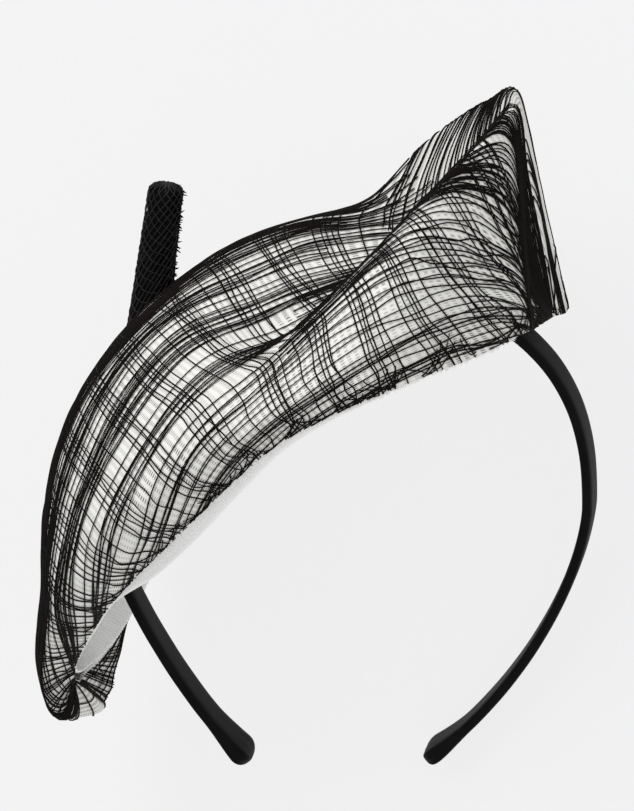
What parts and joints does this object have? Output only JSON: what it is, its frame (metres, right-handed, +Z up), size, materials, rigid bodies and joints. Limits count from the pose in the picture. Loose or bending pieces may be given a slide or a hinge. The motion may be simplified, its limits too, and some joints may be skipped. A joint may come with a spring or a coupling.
{
  "type": "beret fascinator on a headband",
  "caption": "Beret-shaped percher hat of pale straw with a black checked thread pattern, a folded fin and a short net stalk, worn tilted on a slim black satin headband.",
  "frame": {"origin": "centre of the bounding box at the floor that the fascinator rests on, lying on its back", "axes": "+Z up from that floor, towards the front of the wearer; +Y along the hat's longest extent, from the headband's tips to the back panel of the crown; +X towards the wearer's left side, where the hat comes to its point"},
  "size_m": [0.1618, 0.1968, 0.1199],
  "materials": {
    "straw": "matte",
    "grosgrain": "matte",
    "satin": "satin",
    "net": "matte"
  },
  "bodies": {
    "root": {"hat": "straw", "head_ribbon": "grosgrain", "headband": "satin", "stalk": "net"}
  },
  "joints": []
}
